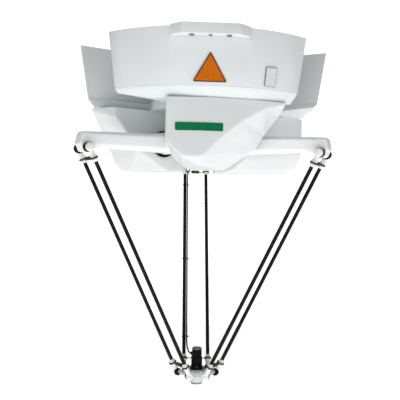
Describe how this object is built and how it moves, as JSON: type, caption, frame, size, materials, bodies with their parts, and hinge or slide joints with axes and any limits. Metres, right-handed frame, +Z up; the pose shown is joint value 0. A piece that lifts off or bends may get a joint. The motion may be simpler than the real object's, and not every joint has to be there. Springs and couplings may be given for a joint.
{
  "type": "delta robot",
  "caption": "Ceiling-hung parallel-link pick-and-place robot: upper arms driven from a lobed base carry paired rods to a small tool head with a rotary flange.",
  "frame": {"origin": "on the robot's middle axis, in the plane of the mounting feet's upper faces", "axes": "+Z up, out of the mounting plane; the front lobe points to -Y, the back arm to +Y"},
  "size_m": [0.797, 0.852, 1.0797],
  "materials": {
    "body_paint": "satin white paint",
    "casting": "satin white paint",
    "head_paint": "satin white paint",
    "socket": "cream moulded plastic",
    "carbon": "black carbon fibre tube",
    "spring": "passivated spring steel",
    "seal": "matte black rubber",
    "cable": "black cable jacket",
    "motor": "black anodised",
    "steel": "machined",
    "sign": "orange printed film",
    "label": "silver film",
    "name_bar": "green film"
  },
  "bodies": {
    "base": {"base_frame": "casting", "centre_cap": "body_paint", "connector_panel": "steel", "sign_plate": "sign", "rating_plate": "label", "name_bar": "name_bar", "front_mounting_foot": "body_paint", "front_upper_cover": "body_paint", "front_motor_housing": "body_paint", "right_mounting_foot": "body_paint", "right_upper_cover": "body_paint", "right_motor_housing": "body_paint", "left_mounting_foot": "body_paint", "left_upper_cover": "body_paint", "left_motor_housing": "body_paint", "left_hub_seal": "seal", "left_gear_reducer": "steel", "left_servo_motor": "motor", "right_hub_seal": "seal", "right_gear_reducer": "steel", "right_servo_motor": "motor", "back_hub_seal": "seal", "back_gear_reducer": "steel", "back_servo_motor": "motor"},
    "left_arm": {"left_upper_arm": "body_paint", "left_elbow_bar": "steel"},
    "left_forearm": {"left_upper_socket_right": "socket", "left_upper_socket_left": "socket", "left_carbon_rod_right": "carbon", "left_carbon_rod_left": "carbon", "left_lower_socket_right": "socket", "left_lower_socket_left": "socket", "left_upper_spring": "spring", "left_lower_spring": "spring"},
    "right_arm": {"right_upper_arm": "body_paint", "right_elbow_bar": "steel"},
    "right_forearm": {"right_upper_socket_right": "socket", "right_upper_socket_left": "socket", "right_carbon_rod_right": "carbon", "right_carbon_rod_left": "carbon", "right_lower_socket_right": "socket", "right_lower_socket_left": "socket", "right_upper_spring": "spring", "right_lower_spring": "spring"},
    "back_arm": {"back_upper_arm": "body_paint", "back_elbow_bar": "steel"},
    "back_forearm": {"tool_motor_cable": "cable", "back_upper_socket_right": "socket", "back_upper_socket_left": "socket", "back_carbon_rod_right": "carbon", "back_carbon_rod_left": "carbon", "back_lower_socket_right": "socket", "back_lower_socket_left": "socket", "back_upper_spring": "spring", "back_lower_spring": "spring"},
    "tool_head": {"tool_head_casting": "head_paint", "rotary_motor": "motor", "rotary_motor_cap": "steel"},
    "tool_axis": {"tool_flange": "steel"}
  },
  "joints": [
    {"name": "left_arm_swing", "type": "hinge", "parent": "base", "child": "left_arm", "pos_m": [-0.10219, -0.059, -0.297], "axis": [0.5, -0.866, 0], "range_deg": [-11.5, 17.2]},
    {"name": "left_elbow", "type": "hinge", "parent": "left_arm", "child": "left_forearm", "pos_m": [-0.36027, -0.208, -0.331], "axis": [0.5, -0.866, 0], "range_deg": [-18.6, 12.5]},
    {"name": "right_arm_swing", "type": "hinge", "parent": "base", "child": "right_arm", "pos_m": [0.10219, -0.059, -0.297], "axis": [0.5, 0.866, 0], "range_deg": [-11.5, 17.2]},
    {"name": "right_elbow", "type": "hinge", "parent": "right_arm", "child": "right_forearm", "pos_m": [0.36027, -0.208, -0.331], "axis": [0.5, 0.866, 0], "range_deg": [-18.6, 12.5]},
    {"name": "back_arm_swing", "type": "hinge", "parent": "base", "child": "back_arm", "pos_m": [0, 0.118, -0.297], "axis": [-1, 0, 0], "range_deg": [-11.5, 17.2]},
    {"name": "back_elbow", "type": "hinge", "parent": "back_arm", "child": "back_forearm", "pos_m": [0, 0.416, -0.331], "axis": [-1, 0, 0], "range_deg": [-18.6, 12.5]},
    {"name": "tool_head_travel", "type": "slide", "parent": "base", "child": "tool_head", "axis": [0, 0, -1], "range_m": [-0.066, 0.099]},
    {"name": "tool_turn", "type": "hinge", "parent": "tool_head", "child": "tool_axis", "pos_m": [0, 0, -1.07], "axis": [0, 0, 1], "continuous": true}
  ],
  "couplings": [
    {"joint": "left_elbow", "follows": "left_arm_swing", "ratio": -1.07},
    {"joint": "right_arm_swing", "follows": "left_arm_swing", "ratio": 1},
    {"joint": "right_elbow", "follows": "left_arm_swing", "ratio": -1.07},
    {"joint": "back_arm_swing", "follows": "left_arm_swing", "ratio": 1},
    {"joint": "back_elbow", "follows": "left_arm_swing", "ratio": -1.07},
    {"joint": "tool_head_travel", "follows": "left_arm_swing", "m_per_rad": 0.324}
  ]
}
